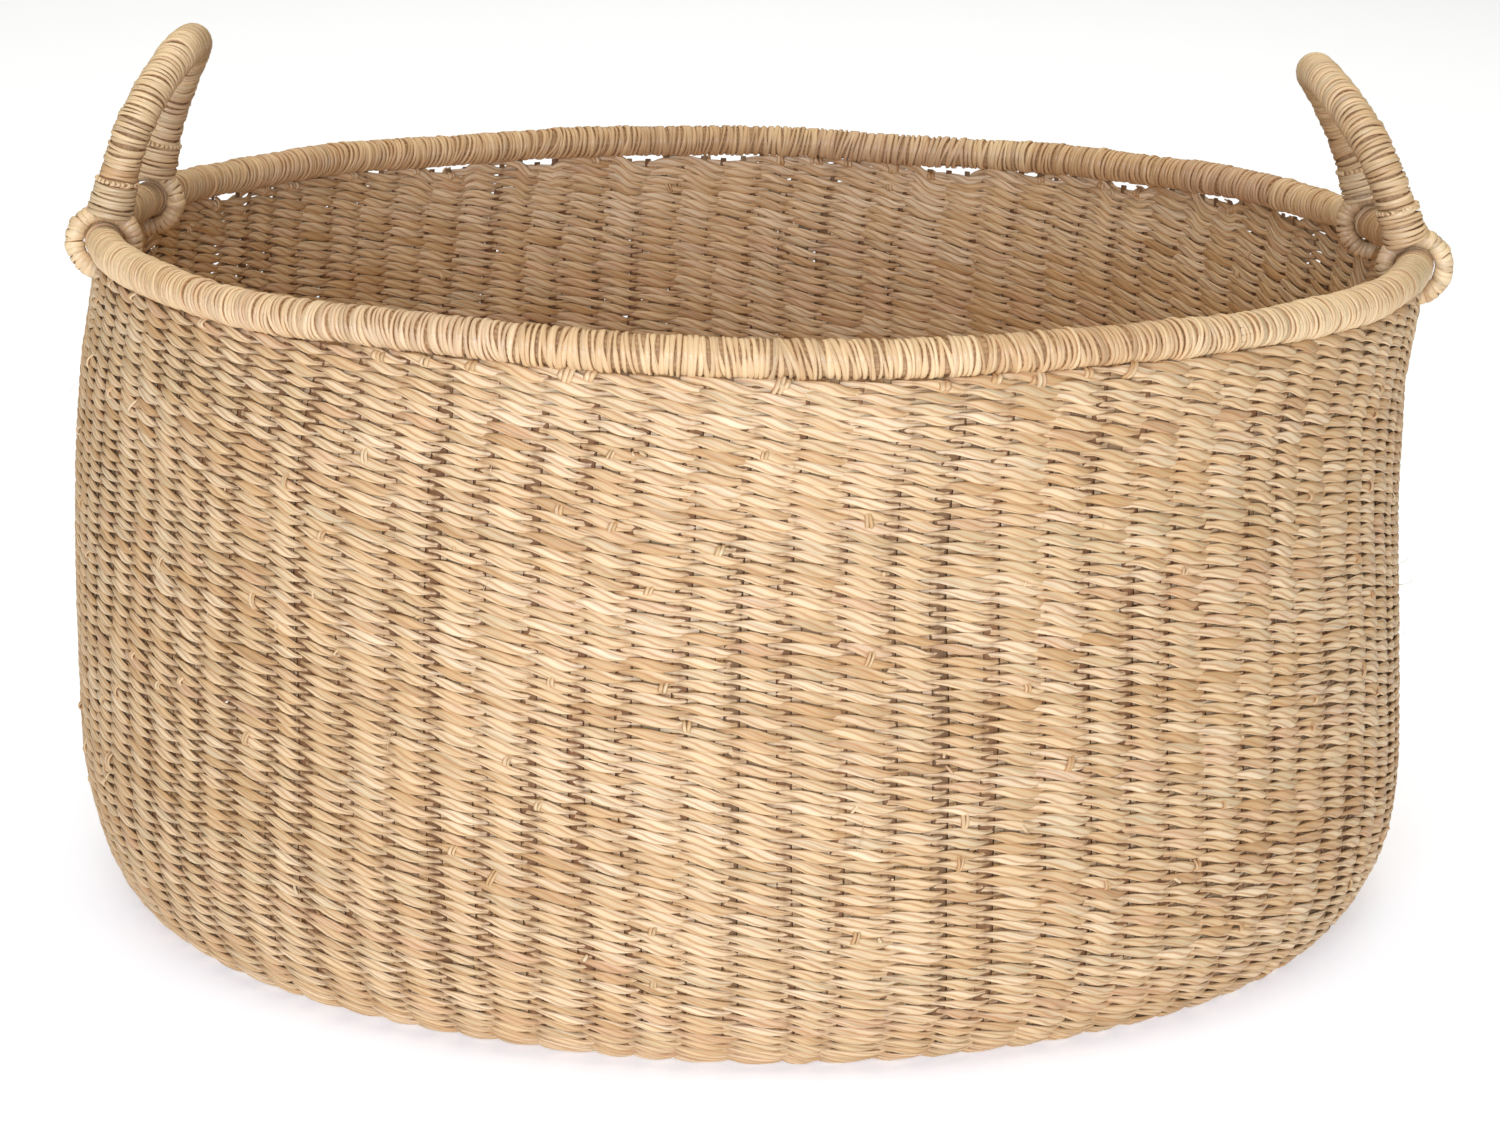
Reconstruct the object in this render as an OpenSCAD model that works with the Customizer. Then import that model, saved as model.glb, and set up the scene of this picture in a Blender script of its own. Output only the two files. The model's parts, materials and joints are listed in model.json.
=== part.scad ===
// Large round twined-straw storage basket with two wrapped swing handles.
// Origin: centre of the underside of the base. +Z up, -Y front, handles at -X (left) and +X (right).

/* [Tub] */
// Radius of the flat underside
base_r = 318; // [290:1:330]
// Widest outer radius of the wall
wall_r = 352; // [340:1:356]
// Height at which the rounded foot becomes the wall
corner_h = 90; // [60:1:120]
// How much smaller the outer radius is at the top of the wall
wall_draw_in = 5; // [0:0.5:8]
// Height of the top of the wall
wall_top = 329; // [300:1:330]
// Thickness of the woven fabric
weave_t = 8; // [7:0.5:9]
// Thickness of the outer and of the inner layer of strands
strand_t = 2.6; // [2.2:0.1:3]
// Radius at which the base weave hands over to the foot weave
base_joint_r = 300; // [280:1:305]
// Radius of the solid start knot in the middle of the base
hub_r = 24; // [18:1:30]

/* [Stakes] */
// Number of upright stakes
stake_count = 92; // [72:4:100]
// Width of a stake
stake_w = 6; // [4:0.5:7]
// Width of a base spoke
spoke_w = 5; // [3:0.5:5.5]

/* [Rim] */
// Radius of the rim's centre line
rim_radius = 341; // [338:0.5:344]
// Height of the rim's centre line
rim_height = 341; // [341:1:350]
// Radius of the wrapped rim
rim_r = 9.5; // [8:0.1:9.5]
// Thickness of the straw wrapped round a core
wrap_t = 1.9; // [1.5:0.1:2.2]

/* [Handles] */
// Distance from the middle of a handle to each foot, along the hinge line
foot_y = 70; // [60:1:75]
// Height of the handle's centre line above the hinge line
handle_h = 98; // [90:1:120]
// Height at which the straight feet start to bend into the arch
arch_start = 43; // [43:1:50]
// How far the top of the arch droops out of the handle's plane
handle_curl = 20; // [0:1:25]
// Roundness of the arch, from 2 for an ellipse to squarer
arch_power = 2.2; // [2:0.1:3]
// Radius of the wrapped handle
handle_r = 9.75; // [9:0.05:9.75]
// Inward lean of the left handle from upright
left_lean = 11; // [0:1:25]
// Inward lean of the right handle from upright
right_lean = 17; // [0:1:25]

/* [Feet and rings] */
// Radius of the bound cuff at the foot of a handle
cuff_r = 12; // [11.5:0.1:12]
// Lower end of a cuff above the hinge line
cuff_bottom = 12.9; // [12.9:0.1:14]
// Upper end of a cuff above the hinge line
cuff_top = 31; // [28:0.5:40]
// Radius of the ring's centre line, which runs round the rim
ring_radius = 15.2; // [15.2:0.1:16]
// Radius of the wrapped ring
ring_r = 4.5; // [4:0.1:4.5]
// Radius of the tie cord above a cuff
tie_r = 1.3; // [1:0.1:1.4]

/* [Hidden] */
$fn = 64;
SIDES = ["left", "right"];
FEET = ["front", "rear"];
FOOT_PIECES = ["cuff", "tie", "ring_core", "ring_wrap"];

straw_pale = "#e6c898";
straw_wrap = "#dcbb86";
straw_core = "#b18d58";
straw_brown = "#a07c4a";

gap = 0.1;
web_t = 1.5;
notch_bite = 0.15;
corner_w = wall_r - base_r;
corner_step = 10;
wall_steps = 4;
stake_pitch = 360 / stake_count;
stake_angle = 360 * stake_w / (2 * PI * wall_r);
stake_top = wall_top + 2.4;
spoke_long_count = stake_count / 4;
spoke_mid_start = 2.5 * hub_r;
spoke_short_start = 5.4 * hub_r;
hinge_x = sqrt(rim_radius * rim_radius - foot_y * foot_y);
core_foot = ring_radius + ring_r + 1.5;
eyelet_r = ring_radius + ring_r + 0.5;
eyelet_w = 2 * ring_r + 1.4;
tube_sides = 14;
arch_steps = 24;

// Point of the tub's section at a given depth below the outer surface, on the rounded foot.
// Angle 0 is where the foot leaves the ground and 90 is where it meets the wall.
function corner_point(a, depth) =
    let (n = [sin(a) / corner_w, -cos(a) / corner_h])
    [base_r + corner_w * sin(a), corner_h * (1 - cos(a))] - depth * n / norm(n);

// Point of the section on the upright wall, at a height and depth.
function wall_point(z, depth) =
    let (up = (z - corner_h) / (wall_top - corner_h))
    [wall_r - wall_draw_in * up * up - depth, z];

// The section line at a depth: from a radius under the base to just under the wall, and up the wall.
function foot_line(depth, start_r) =
    concat([[start_r, depth]], [for (a = [0:corner_step:90 - corner_step]) corner_point(a, depth)]);

function wall_line(depth, low, top) =
    [for (i = [0:wall_steps]) wall_point(low + (top - low) * i / wall_steps, depth)];

function reversed(list) = [for (i = [len(list) - 1:-1:0]) list[i]];

// Centre line of a handle: x droops inwards, y runs along the hinge line, z is the height above it.
function arch_point(a) =
    let (c = cos(a), rise = pow(abs(sin(a)), 2 / arch_power))
    [handle_curl * rise * rise,
     -foot_y * sign(c) * pow(abs(c), 2 / arch_power),
     arch_start + (handle_h - arch_start) * rise];

handle_path = concat(
    [[0, -foot_y, core_foot], [0, -foot_y, (core_foot + arch_start) / 2]],
    [for (i = [0:arch_steps]) arch_point(180 * i / arch_steps)],
    [[0, foot_y, (core_foot + arch_start) / 2], [0, foot_y, core_foot]]
);

function path_direction(path, i) =
    let (d = path[min(i + 1, len(path) - 1)] - path[max(i - 1, 0)])
    d / norm(d);

// One ring of points round each point of a path that never runs along X.
function tube_points(path, r) = [
    for (i = [0:len(path) - 1])
    let (t = path_direction(path, i))
    let (flat = [1, 0, 0] - t[0] * t)
    let (u = flat / norm(flat), v = cross(t, u))
    for (k = [0:tube_sides - 1])
    path[i] + r * cos(360 * k / tube_sides) * u + r * sin(360 * k / tube_sides) * v
];

function quad_strip(rows, first, flip) = [
    for (i = [0:rows - 2]) for (k = [0:tube_sides - 1])
    let (a = first + i * tube_sides, m = (k + 1) % tube_sides)
    flip ? [a + k, a + tube_sides + k, a + tube_sides + m, a + m]
         : [a + k, a + m, a + tube_sides + m, a + tube_sides + k]
];

module bent_rod(path, r) {
    last = (len(path) - 1) * tube_sides;
    polyhedron(
        points = tube_points(path, r),
        faces = concat(
            quad_strip(len(path), 0, true),
            [[for (k = [0:tube_sides - 1]) k]],
            [[for (k = [tube_sides - 1:-1:0]) last + k]]
        ),
        convexity = 6
    );
}

module bent_pipe(path, r_out, r_in) {
    count = len(path) * tube_sides;
    last = (len(path) - 1) * tube_sides;
    polyhedron(
        points = concat(tube_points(path, r_out), tube_points(path, r_in)),
        faces = concat(
            quad_strip(len(path), 0, true),
            quad_strip(len(path), count, false),
            [for (k = [0:tube_sides - 1]) let (m = (k + 1) % tube_sides) [k, m, count + m, count + k]],
            [for (k = [0:tube_sides - 1]) let (m = (k + 1) % tube_sides, a = last, b = count + last)
                [a + k, b + k, b + m, a + m]]
        ),
        convexity = 8
    );
}

module ring(line_r, r_out, r_in = 0) {
    rotate_extrude()
        translate([line_r, 0])
            difference() {
                circle(r = r_out);
                if (r_in > 0) circle(r = r_in);
            }
}

// Puts a handle's own frame on its hinge line, leaning inwards.
module on_hinge(side) {
    if (side == "left")
        translate([-hinge_x, 0, rim_height]) rotate([0, left_lean, 0]) children();
    else
        translate([hinge_x, 0, rim_height]) rotate([0, -right_lean, 0]) mirror([1, 0, 0]) children();
}

module at_foot(foot) {
    translate([0, foot == "front" ? -foot_y : foot_y, 0]) children();
}

// Round the hinge line, at each of the four places where a ring passes through the wall.
module at_each_ring() {
    for (x = [-hinge_x, hinge_x]) for (y = [-foot_y, foot_y])
        translate([x, y, rim_height]) rotate([90, 0, 0]) children();
}

module base_weave() {
    color(straw_pale)
        rotate_extrude()
            polygon([
                [0, 0], [base_joint_r - gap, 0], [base_joint_r - gap, strand_t], [hub_r, strand_t],
                [hub_r, weave_t - strand_t], [base_joint_r - gap, weave_t - strand_t],
                [base_joint_r - gap, weave_t], [0, weave_t]
            ]);
}

module spoke_ring(count, phase, start_r) {
    for (i = [0:count - 1])
        rotate([0, 0, (i + phase) * 360 / count])
            translate([start_r, -spoke_w / 2, strand_t + gap])
                cube([base_joint_r - 3 * gap - start_r, spoke_w, weave_t - 2 * strand_t - 2 * gap]);
}

module base_spokes() {
    color(straw_core) {
        spoke_ring(spoke_long_count, 0.125, hub_r + gap);
        spoke_ring(spoke_long_count, 0.625, spoke_mid_start);
        spoke_ring(2 * spoke_long_count, 0.75, spoke_short_start);
    }
}

// Weave of the rounded foot: an outer and an inner layer of strands, joined where the base takes over.
module foot_weave() {
    top = corner_h - gap;
    web_r = base_joint_r + web_t;
    color(straw_pale)
        rotate_extrude()
            polygon(concat(
                foot_line(0, base_joint_r), [wall_point(top, 0)],
                [wall_point(top, strand_t)], reversed(foot_line(strand_t, web_r)),
                foot_line(weave_t - strand_t, web_r), [wall_point(top, weave_t - strand_t)],
                [wall_point(top, weave_t)], reversed(foot_line(weave_t, base_joint_r))
            ));
}

module stake_notch() {
    side = stake_w + 2 * gap;
    translate([wall_r - weave_t + strand_t - notch_bite, -side / 2, corner_h - web_t])
        cube([weave_t - 2 * strand_t + 2 * notch_bite, side, 2 * web_t + gap]);
}

// Weave of the upright wall: its two layers are joined at the bottom, between the stakes.
module wall_weave() {
    web_top = corner_h + web_t;
    color(straw_pale)
        difference() {
            rotate_extrude()
                polygon(concat(
                    wall_line(0, corner_h, wall_top),
                    reversed(wall_line(strand_t, web_top, wall_top)),
                    wall_line(weave_t - strand_t, web_top, wall_top),
                    reversed(wall_line(weave_t, corner_h, wall_top))
                ));
            at_each_ring() cylinder(r = eyelet_r, h = eyelet_w, center = true);
            for (i = [0:stake_count - 1]) rotate([0, 0, (i + 0.5) * stake_pitch]) stake_notch();
        }
}

module wall_stakes() {
    start_r = base_joint_r + web_t + gap;
    outside = strand_t + gap;
    inside = weave_t - strand_t - gap;
    color(straw_brown)
        for (i = [0:stake_count - 1])
            rotate([0, 0, (i + 0.5) * stake_pitch - stake_angle / 2])
                rotate_extrude(angle = stake_angle)
                    polygon(concat(
                        foot_line(outside, start_r), wall_line(outside, corner_h, stake_top),
                        reversed(wall_line(inside, corner_h, stake_top)), reversed(foot_line(inside, start_r))
                    ));
}

module rim_core() {
    color(straw_core) translate([0, 0, rim_height]) ring(rim_radius, rim_r - wrap_t - gap);
}

module rim_wrap() {
    color(straw_wrap) translate([0, 0, rim_height]) ring(rim_radius, rim_r, rim_r - wrap_t);
}

module handle_core(side) {
    color(straw_core) on_hinge(side) bent_rod(handle_path, handle_r - wrap_t - 3 * gap);
}

module handle_wrap(side) {
    color(straw_wrap) on_hinge(side) bent_pipe(handle_path, handle_r, handle_r - wrap_t);
}

// Bound foot of a handle: it holds the end of the handle and the top of the ring.
module cuff(side, foot) {
    color(straw_pale) on_hinge(side) at_foot(foot)
        difference() {
            translate([0, 0, cuff_bottom]) cylinder(r = cuff_r, h = cuff_top - cuff_bottom);
            translate([0, 0, core_foot - gap]) cylinder(r = handle_r + gap, h = cuff_top);
            rotate([90, 0, 0]) ring(ring_radius, ring_r + 1.5 * gap);
        }
}

module tie(side, foot) {
    color(straw_brown) on_hinge(side) at_foot(foot)
        translate([0, 0, cuff_top + tie_r + gap])
            ring(handle_r + tie_r + 1.5 * gap, tie_r);
}

module ring_core(side, foot) {
    color(straw_core) on_hinge(side) at_foot(foot) rotate([90, 0, 0])
        ring(ring_radius, ring_r - 0.75 * wrap_t - gap);
}

module ring_wrap(side, foot) {
    color(straw_wrap) on_hinge(side) at_foot(foot) rotate([90, 0, 0])
        ring(ring_radius, ring_r, ring_r - 0.75 * wrap_t);
}

base_weave();
base_spokes();
foot_weave();
wall_weave();
wall_stakes();
rim_core();
rim_wrap();
for (s = SIDES) {
    handle_core(s);
    handle_wrap(s);
    for (f = FEET) {
        cuff(s, f);
        tie(s, f);
        ring_core(s, f);
        ring_wrap(s, f);
    }
}
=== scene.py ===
"""Looks of the twined-straw basket: every strand, stake and wrapping strip is a closed tube of its own."""

import json
import math
from collections import namedtuple

import bpy
import numpy as np
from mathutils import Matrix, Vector


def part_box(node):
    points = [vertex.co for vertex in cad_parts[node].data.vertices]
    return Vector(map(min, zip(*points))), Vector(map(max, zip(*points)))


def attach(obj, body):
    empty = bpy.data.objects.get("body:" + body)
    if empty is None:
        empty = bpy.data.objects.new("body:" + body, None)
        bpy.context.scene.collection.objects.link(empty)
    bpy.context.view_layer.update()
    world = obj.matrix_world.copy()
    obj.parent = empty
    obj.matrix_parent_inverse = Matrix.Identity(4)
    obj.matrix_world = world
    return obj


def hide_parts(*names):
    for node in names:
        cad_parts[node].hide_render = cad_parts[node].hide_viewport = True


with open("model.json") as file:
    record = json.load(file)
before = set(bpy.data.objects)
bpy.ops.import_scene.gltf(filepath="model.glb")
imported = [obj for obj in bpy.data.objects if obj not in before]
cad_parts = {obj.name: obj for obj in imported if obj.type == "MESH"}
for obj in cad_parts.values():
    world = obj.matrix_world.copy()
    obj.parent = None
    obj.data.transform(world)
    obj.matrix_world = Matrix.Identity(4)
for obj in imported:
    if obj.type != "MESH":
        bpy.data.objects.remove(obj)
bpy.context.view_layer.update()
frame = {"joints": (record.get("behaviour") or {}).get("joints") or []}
MM = 0.001
TAU = 2 * math.pi

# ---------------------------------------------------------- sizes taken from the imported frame
WALL_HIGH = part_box("wall_weave")[1]
BASE_LOW, BASE_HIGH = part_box("base_weave")
RIM_LOW, RIM_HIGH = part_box("rim_wrap")
JOINTS = {joint["child"]: joint for joint in frame["joints"]}
RIM_TUBE = (RIM_HIGH.z - RIM_LOW.z) / 2
RIM_RADIUS = RIM_HIGH.x - RIM_TUBE
RIM_Z = (RIM_HIGH.z + RIM_LOW.z) / 2
WALL_RADIUS = WALL_HIGH.y
WALL_TOP = WALL_HIGH.z
FABRIC_T = BASE_HIGH.z - BASE_LOW.z
BASE_START = BASE_HIGH.x

# ---------------------------------------------------------- sizes of the section, as the CAD has them
BASE_FLAT_R = WALL_RADIUS - 34 * MM
CORNER_H = 90 * MM
WALL_DRAW_IN = 5 * MM

# ---------------------------------------------------------- sizes of the weave
STAKES = 92
COURSE_PITCH = 5.35 * MM
STRAND_HALF_W = 2.95 * MM
STRAND_HALF_T = 1.05 * MM
TWINE_OUT = 2.1 * MM
TWINE_LAP = 0.3 * MM
TWINE_RISE = 1.8 * MM
CROSSING_SHARE = 0.60
OPEN_SHARE = 0.30
STRAND_LOBES = 5
GROOVE_DEPTH = 0.22
STRAND_TWIST = 0.24 * TAU
STAKE_HALF_W = 4.0 * MM
STAKE_HALF_T = 0.6 * MM
FILLER_HALF_T = 0.25 * MM
OPEN_COLUMNS = (39, 45)
SHORT_BY = 36 * MM
STAKE_ZONES = ((130 * MM, 92), (60 * MM, 46), (26 * MM, 23), (0.0, 12))

# ---------------------------------------------------------- sizes of the handles, as the CAD has them
FOOT_Y = 70 * MM
HANDLE_H = 98 * MM
ARCH_START = 43 * MM
ARCH_POWER = 2.2
HANDLE_R = 9.75 * MM
LEANS = {"left": math.radians(11), "right": math.radians(17)}
CORE_FOOT = 21.2 * MM
CUFF_R = 12 * MM
CUFF_BOTTOM = 12.9 * MM
CUFF_TOP = 31 * MM
RING_RADIUS = 15.2 * MM
RING_R = 4.5 * MM
TIE_R = 1.3 * MM
FOOT_ANGLE = math.asin(FOOT_Y / RIM_RADIUS)
RING_ANGLES = (FOOT_ANGLE, math.pi - FOOT_ANGLE, math.pi + FOOT_ANGLE, TAU - FOOT_ANGLE)

# ---------------------------------------------------------- the handles' soft droop, and fuller rings
HANDLE_CURL = 16 * MM
CURL_LOW_SHARE = 0.5
RING_SNUG = 0.5 * MM

# ---------------------------------------------------------- camera
CAM_DISTANCE = 2.042
CAM_PITCH = math.radians(14.23)
CAM_ROLL = math.radians(1.12)
CAM_AIM_Z = 0.1614
CAM_X = 0.001
CAM_LENS = 90.94
CAM_SHIFT = -0.0035


def make_camera():
    """The camera of the photo's view."""
    data = bpy.data.cameras.new("camera")
    data.lens = CAM_LENS
    data.sensor_width = 36
    data.shift_x = CAM_SHIFT
    data.clip_end = 50
    camera = bpy.data.objects.new("camera", data)
    bpy.context.scene.collection.objects.link(camera)
    camera.location = (
        CAM_X,
        -CAM_DISTANCE * math.cos(CAM_PITCH),
        CAM_AIM_Z + CAM_DISTANCE * math.sin(CAM_PITCH),
    )
    camera.rotation_mode = "ZYX"
    camera.rotation_euler = (math.pi / 2 - CAM_PITCH, 0, CAM_ROLL)
    bpy.context.scene.camera = camera


make_camera()


# ---------------------------------------------------------- meshes from arrays
def make_mesh(name, points, quads, caps, tone, fibre, material, groove=None):
    """A piece from points (N, 3), quads (M, 4) and caps (vertex loops), with its straw's values."""
    mesh = bpy.data.meshes.new(name)
    corners = np.concatenate([quads.ravel(), *caps]).astype(np.int32)
    sizes = np.concatenate([np.full(len(quads), 4), [len(c) for c in caps]]).astype(np.int32)
    starts = np.concatenate([[0], np.cumsum(sizes)[:-1]]).astype(np.int32)
    mesh.vertices.add(len(points))
    mesh.vertices.foreach_set("co", points.astype(np.float32).ravel())
    mesh.loops.add(len(corners))
    mesh.loops.foreach_set("vertex_index", corners)
    mesh.polygons.add(len(sizes))
    mesh.polygons.foreach_set("loop_start", starts)
    mesh.polygons.foreach_set("use_smooth", np.ones(len(sizes), bool))
    for label, values in (("tone", tone), ("fibre", fibre)):
        layer = mesh.attributes.new(label, "FLOAT_VECTOR", "POINT")
        layer.data.foreach_set("vector", values.astype(np.float32).ravel())
    if groove is not None:
        layer = mesh.attributes.new("groove", "FLOAT", "POINT")
        layer.data.foreach_set("value", groove.astype(np.float32).ravel())
    mesh.update(calc_edges=True)
    mesh.validate()
    mesh.materials.append(material)
    piece = bpy.data.objects.new(name, mesh)
    bpy.context.scene.collection.objects.link(piece)
    return piece


def grid_quads(tubes, rows, sides, closed):
    """Faces of several tubes with rows of points and sides round each."""
    row = np.arange(rows if closed else rows - 1)
    side = np.arange(sides)
    t, r, s = np.meshgrid(np.arange(tubes), row, side, indexing="ij")
    here = (t * rows + r) * sides
    ahead = (t * rows + (r + 1) % rows) * sides
    beside = (s + 1) % sides
    return np.stack([here + s, here + beside, ahead + beside, ahead + s], -1).reshape(-1, 4)


def end_caps(tubes, rows, sides):
    """The two end faces of each tube."""
    caps = []
    for t in range(tubes):
        first = t * rows * sides
        caps.append(first + np.arange(sides)[::-1])
        caps.append(first + (rows - 1) * sides + np.arange(sides))
    return caps


def flattened(x, power):
    """A sine or cosine pushed outward, so that a round section becomes flatter with tighter corners."""
    return np.sign(x) * np.abs(x) ** power


def tube_arrays(line, wide, thick, sides, tone, along, ids, lobes=0, twist=None, power=1.0, straws=None):
    """Points, tones, fibre places and grooves of tubes.

    line, wide and thick are (tubes, rows, 3): the middle, and the half width and half thickness there.
    """
    psi = TAU * np.arange(sides) / sides
    dent = (1 - np.cos(lobes * psi)) / 2
    turned = psi + (np.zeros(line.shape[:2]) if twist is None else twist)[:, :, None]
    c = ((1 - 0.05 * dent) * flattened(np.cos(turned), power))[..., None]
    s = ((1 - GROOVE_DEPTH * dent) * flattened(np.sin(turned), power))[..., None]
    points = line[:, :, None] + wide[:, :, None] * c + thick[:, :, None] * s
    shape = points.shape[:3]
    fibre = np.empty(shape + (3,))
    fibre[..., 0] = np.cos(psi) + ids[:, None, None]
    fibre[..., 1] = np.sin(psi) + ids[:, None, None]
    fibre[..., 2] = along[:, :, None]
    tones = np.repeat(tone[:, :, None], sides, axis=2)
    if straws is not None:
        tones[..., 0] += straws[:, None, np.arange(sides) * lobes // sides]
    groove = np.broadcast_to(dent, shape)
    return points.reshape(-1, 3), tones.reshape(-1, 3), fibre.reshape(-1, 3), groove.reshape(-1)


def unit(v):
    """Vectors, each made one long."""
    return v / np.maximum(np.linalg.norm(v, axis=-1, keepdims=True), 1e-12)


def cross_axes(line, up, closed):
    """Directions across the lines: one along up as far as the line lets it, and one square to both."""
    if closed:
        run = np.roll(line, -1, 1) - np.roll(line, 1, 1)
    else:
        run = np.gradient(line, axis=1)
    run = unit(run)
    wide = unit(up - run * (up * run).sum(-1, keepdims=True))
    return wide, np.cross(wide, run)


# ---------------------------------------------------------- the woven surface
FLAT_ROWS = 400
CORNER_ROWS = 300
WALL_ROWS = 400


def section_table():
    """Distance from the centre, radius, height and run of the fabric's middle surface."""
    depth = FABRIC_T / 2
    flat_r = np.linspace(0, BASE_FLAT_R, FLAT_ROWS, endpoint=False)
    flat = np.stack([flat_r, np.full_like(flat_r, depth)], -1)
    angle = np.linspace(0, math.pi / 2, CORNER_ROWS, endpoint=False)
    width = WALL_RADIUS - BASE_FLAT_R
    outer = np.stack([BASE_FLAT_R + width * np.sin(angle), CORNER_H * (1 - np.cos(angle))], -1)
    normal = unit(np.stack([np.sin(angle) / width, -np.cos(angle) / CORNER_H], -1))
    z = np.linspace(CORNER_H, RIM_Z, WALL_ROWS)
    up = (z - CORNER_H) / (WALL_TOP - CORNER_H)
    wall = np.stack([WALL_RADIUS - WALL_DRAW_IN * up**2 - depth, z], -1)
    line = np.concatenate([flat, outer - depth * normal, wall])
    s = np.concatenate([[0], np.cumsum(np.linalg.norm(np.diff(line, axis=0), axis=1))])
    run = unit(np.gradient(line, axis=0))
    return s, line[:, 0], line[:, 1], run[:, 0], run[:, 1]


SEC_S, SEC_R, SEC_Z, SEC_RUN_R, SEC_RUN_Z = section_table()


def distance_at(height):
    """Distance along the section at a height on the wall."""
    first = FLAT_ROWS + CORNER_ROWS
    return float(np.interp(height, SEC_Z[first:], SEC_S[first:]))


S_TOP = distance_at(WALL_TOP)
S_FOOT = distance_at(CORNER_H)


def waves(seed, count, m_low, m_high, wavelength_s, amplitude):
    """A smooth random field over the angle and the distance along the section, repeating each turn."""
    rng = np.random.default_rng(seed)
    m = rng.integers(m_low, m_high + 1, count)
    q = rng.normal(0, 1, count) * TAU / wavelength_s
    phase = rng.uniform(0, TAU, count)
    size = amplitude * rng.uniform(0.5, 1.5, count) / math.sqrt(count)

    def field(theta, s):
        total = 0.0
        for mk, qk, pk, ak in zip(m, q, phase, size, strict=True):
            total = total + ak * np.cos(mk * theta + qk * s + pk)
        return total

    return field


SIDE_WANDER = waves(11, 18, 3, 40, 0.30, 2.2 * MM)
RISE_WANDER = waves(12, 12, 2, 18, 0.25, 1.4 * MM)
BULGE = waves(13, 8, 2, 7, 0.5, 1.6 * MM)
LOOSENESS = waves(14, 16, 2, 30, 0.12, 0.28)
BROWNING = waves(15, 14, 1, 14, 0.12, 0.08)
LOOSE_SIDE = math.radians(206)
RIM_RISE = waves(51, 8, 3, 14, 1.0, 1.2 * MM)
RIM_SPREAD = waves(52, 8, 3, 16, 1.0, 0.9 * MM)
RIM_GAP = waves(53, 12, 12, 44, 1.0, 5.5 * MM)
RIM_GAP_MOST = 4.2 * MM
TRUE_TOP = 90 * MM
TRUE_BASE_R = 250 * MM
TRUE_BASE_FADE = 80 * MM
CENTRE_FADE = 100 * MM
CENTRE_R = 120 * MM
EYELET_DROP = 9.5 * MM
EYELET_SPREAD = 10 * MM
SHAPE_Z = np.array([0, 40, 90, 150, 220, 280, 329]) * MM
SHAPE_LEAN = np.array([-5.8, -4.2, -5.8, -6.9, -8.1, -6.9, 0]) * MM
SHAPE_WIDEN = np.array([2.1, 2.9, 2.0, 1.0, -1.1, -1.5, 0]) * MM


def smoothstep(x):
    """A smooth step from 0 to 1."""
    x = np.clip(x, 0, 1)
    return x * x * (3 - 2 * x)


def near_ring(theta, spread):
    """1 where a handle's ring passes through the wall, falling to 0 over the spread in metres."""
    total = 0.0
    for angle in RING_ANGLES:
        arc = (np.mod(theta - angle + math.pi, TAU) - math.pi) * RIM_RADIUS
        total = total + np.exp(-((arc / spread) ** 2))
    return total


def free_of_handles(theta):
    """0 where the handles sit on the rim, rising to 1 away from them."""
    return 1 - np.clip(near_ring(theta, 60 * MM), 0, 1)


def rim_gap(theta):
    """How far the top course at the back hangs below the rim between two lashings."""
    at_back = smoothstep(2 * np.sin(theta))
    return np.clip(RIM_GAP(theta, 0), 0, RIM_GAP_MOST) * at_back * free_of_handles(theta)


def fabric(theta, s, out):
    """Points at a distance out from the fabric's middle, and the direction up along the fabric there."""
    top = smoothstep((s - S_TOP) / TRUE_TOP + 1)
    flat = 1 - smoothstep((s - TRUE_BASE_R) / TRUE_BASE_FADE)
    drop = EYELET_DROP * near_ring(theta, EYELET_SPREAD) * top
    s_real = s + RISE_WANDER(theta, s) * (1 - top) * smoothstep(s / CENTRE_FADE) - drop
    r = np.interp(s_real, SEC_S, SEC_R)
    z = np.interp(s_real, SEC_S, SEC_Z)
    run_r = np.interp(s_real, SEC_S, SEC_RUN_R)
    run_z = np.interp(s_real, SEC_S, SEC_RUN_Z)
    turn = theta + SIDE_WANDER(theta, s) * (1 - 0.7 * top) / np.maximum(r, CENTRE_R)
    lift = out + BULGE(theta, s) * (1 - top) * (1 - flat)
    cosine, sine = np.cos(turn), np.sin(turn)
    radius = r + run_z * lift
    height = z - run_r * lift
    lean = np.interp(height, SHAPE_Z, SHAPE_LEAN)
    radius = radius + np.interp(height, SHAPE_Z, SHAPE_WIDEN) * (1 - flat)
    height = height + top**3 * free_of_handles(theta) * RIM_RISE(theta, 0) - top**8 * rim_gap(theta)
    point = np.stack([radius * cosine + lean, radius * sine, height], -1)
    up = np.stack([run_r * cosine, run_r * sine, run_z], -1)
    return point, up


def stake_count(r):
    """Number of stakes or spokes at a radius."""
    for start, count in STAKE_ZONES:
        if r >= start:
            return count
    return STAKE_ZONES[-1][1]


def column_looseness(seed, spread):
    """How much looser the weave is beside each stake, the same all the way up."""
    rng = np.random.default_rng(seed)
    value = rng.normal(0, spread, STAKES + 1)
    value[-1] = value[0]

    def field(theta):
        return np.interp(np.mod(theta, TAU) * STAKES / TAU, np.arange(STAKES + 1), value)

    return field


COLUMN_LOOSE = column_looseness(16, 0.13)


def looseness(theta, s):
    """How open the weave is, 0 to 1: most on the left flank and round the foot, least in the base."""
    loose = 0.04 + 0.8 * np.exp(2 * np.cos(theta - LOOSE_SIDE) - 2)
    loose = loose + LOOSENESS(theta, s) + COLUMN_LOOSE(theta)
    loose = loose * (0.2 + 0.8 * smoothstep((s - BASE_START) / (60 * MM)))
    foot = smoothstep((s - BASE_START) / (40 * MM)) * (1 - smoothstep((s - S_FOOT) / (200 * MM)))
    return np.clip(loose + 0.25 * foot, 0, 1)


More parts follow.
